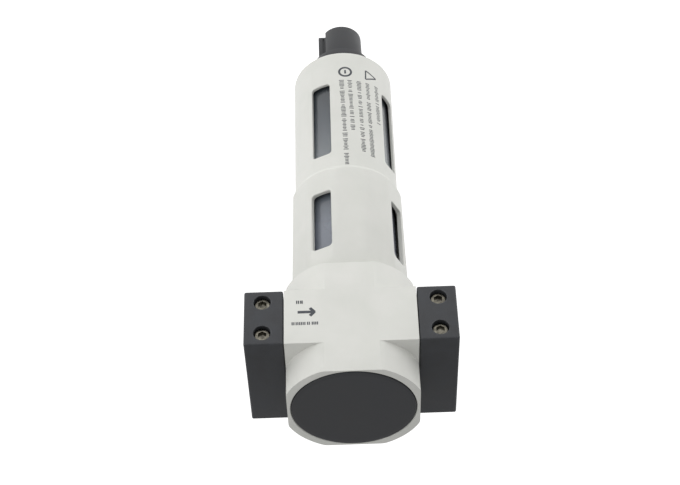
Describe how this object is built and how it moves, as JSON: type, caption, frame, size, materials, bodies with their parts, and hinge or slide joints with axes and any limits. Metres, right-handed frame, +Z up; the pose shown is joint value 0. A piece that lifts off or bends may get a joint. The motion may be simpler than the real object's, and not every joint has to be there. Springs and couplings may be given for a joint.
{
  "type": "compressed air filter",
  "caption": "Modular compressed air filter: square ported housing between two end plates, with a hanging guarded bowl, a sintered element and a turn-to-open drain.",
  "frame": {"origin": "where the port axis crosses the bowl axis, at the middle of the housing block", "axes": "+Z up along the bowl axis towards the cap, +X along the port axis towards the inlet plate, -Y towards the screws' front"},
  "size_m": [0.064, 0.0392, 0.1617],
  "materials": {
    "white_paint": "fine satin powder coat",
    "black_plate": "matt black coating on die-cast metal",
    "black_plastic": "fine moulded texture",
    "smoky_clear": "clear smoke-tinted polycarbonate",
    "steel": "zinc plated",
    "rubber": "matt nitrile rubber",
    "sintered": "porous sintered polyethylene",
    "brass": "turned",
    "off_white_plastic": "moulded acetal"
  },
  "bodies": {
    "head": {"housing": "white_paint", "cap_disc": "black_plastic", "inlet_plate": "black_plate", "outlet_plate": "black_plate", "inlet_screw_upper": "steel", "inlet_screw_lower": "steel", "outlet_screw_upper": "steel", "outlet_screw_lower": "steel", "inlet_port_ring": "rubber", "outlet_port_ring": "rubber", "swirl_ring": "off_white_plastic", "element_upper_gasket": "rubber", "filter_element": "sintered", "element_lower_gasket": "rubber", "baffle": "black_plastic", "baffle_nut": "brass", "element_stud": "steel"},
    "bowl_unit": {"bowl": "smoky_clear", "bowl_ring": "rubber", "drain_body": "black_plastic", "drain_body_ring": "rubber", "drain_nut": "black_plastic"},
    "guard": {"bowl_guard": "white_paint"},
    "knob": {"drain_knob": "black_plastic"},
    "stem": {"drain_stem": "brass", "drain_stem_ring": "rubber"}
  },
  "joints": [
    {"name": "bowl_drop", "type": "slide", "parent": "head", "child": "bowl_unit", "axis": [0, 0, -1], "range_m": [0, 0.06]},
    {"name": "guard_turn", "type": "hinge", "parent": "bowl_unit", "child": "guard", "pos_m": [0, 0, -0.06], "axis": [0, 0, 1], "range_deg": [0, 1080]},
    {"name": "drain_knob_turn", "type": "hinge", "parent": "bowl_unit", "child": "knob", "pos_m": [0, 0, -0.134], "axis": [0, 0, 1], "range_deg": [0, 180]},
    {"name": "drain_stem_lift", "type": "slide", "parent": "bowl_unit", "child": "stem", "axis": [0, 0, 1], "range_m": [0, 0.0015]}
  ],
  "couplings": [
    {"joint": "drain_knob_turn", "follows": "drain_stem_lift", "rad_per_m": 2094.4}
  ]
}
